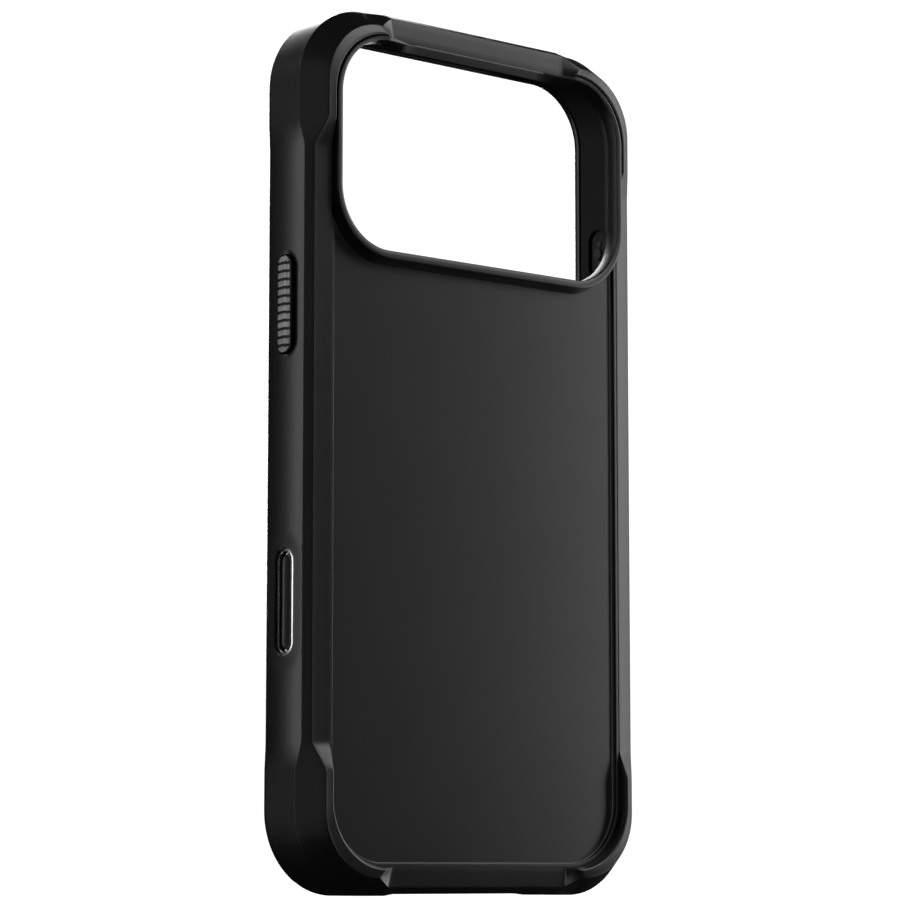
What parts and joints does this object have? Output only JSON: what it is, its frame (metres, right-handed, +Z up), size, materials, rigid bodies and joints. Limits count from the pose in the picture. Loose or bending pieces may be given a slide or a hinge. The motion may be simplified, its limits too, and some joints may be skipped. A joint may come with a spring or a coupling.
{
  "type": "phone case",
  "caption": "Rugged black phone case with thick faceted corners, a full-width raised camera window, sprung side buttons, a framed touch strip and magnets behind its back panel.",
  "frame": {"origin": "middle of the lower edge, half way through the depth, where the case stands on its lower edge", "axes": "+Z up along the case's length; +Y out of the open front, where the screen shows; +X to the right as seen from behind, the action and volume buttons' side"},
  "size_m": [0.0804, 0.0144, 0.157],
  "materials": {
    "bumper_rubber": "black thermoplastic elastomer, soft-touch satin",
    "frame_plastic": "black polycarbonate, satin",
    "surround_plastic": "black polycarbonate, fine satin with soft highlights",
    "panel_plastic": "black film-backed polycarbonate, smooth satin",
    "lining_fabric": "dark grey microfibre, short nap",
    "magnet_plating": "nickel-plated magnet",
    "film_plastic": "thin polyester film",
    "coil_copper": "etched copper",
    "chip_plastic": "black moulded chip",
    "button_metal": "dark anodised aluminium, knurled, bright on the ridges",
    "bezel_metal": "dark polished aluminium ring",
    "strip_gloss": "glossy black conductive cover",
    "clip_steel": "thin spring steel",
    "pad_rubber": "soft silicone rubber"
  },
  "bodies": {
    "case": {"bumper": "bumper_rubber", "back_frame": "frame_plastic", "camera_ring": "surround_plastic", "back_panel": "panel_plastic", "lining": "lining_fabric", "ring_magnets": "magnet_plating", "bar_magnet": "magnet_plating", "magnet_film": "film_plastic", "tag_coil": "coil_copper", "tag_chip": "chip_plastic", "touch_bezel": "bezel_metal"},
    "side_key": {"side_button": "button_metal", "side_button_clip": "clip_steel", "side_button_pad": "pad_rubber"},
    "touch_key": {"touch_strip": "strip_gloss", "touch_pad": "pad_rubber"},
    "action_key": {"action_button": "button_metal", "action_button_clip": "clip_steel", "action_button_pad": "pad_rubber"},
    "volume_up_key": {"volume_up": "button_metal", "volume_up_clip": "clip_steel", "volume_up_pad": "pad_rubber"},
    "volume_down_key": {"volume_down": "button_metal", "volume_down_clip": "clip_steel", "volume_down_pad": "pad_rubber"}
  },
  "joints": [
    {"name": "side_press", "type": "slide", "parent": "case", "child": "side_key", "axis": [1, 0, 0], "range_m": [0, 0.0004], "stiffness_N_per_m": 1500},
    {"name": "touch_press", "type": "slide", "parent": "case", "child": "touch_key", "axis": [1, 0, 0], "range_m": [0, 0.00025], "stiffness_N_per_m": 1500},
    {"name": "action_press", "type": "slide", "parent": "case", "child": "action_key", "axis": [-1, 0, 0], "range_m": [0, 0.0004], "stiffness_N_per_m": 1200},
    {"name": "volume_up_press", "type": "slide", "parent": "case", "child": "volume_up_key", "axis": [-1, 0, 0], "range_m": [0, 0.0004], "stiffness_N_per_m": 1200},
    {"name": "volume_down_press", "type": "slide", "parent": "case", "child": "volume_down_key", "axis": [-1, 0, 0], "range_m": [0, 0.0004], "stiffness_N_per_m": 1200}
  ]
}
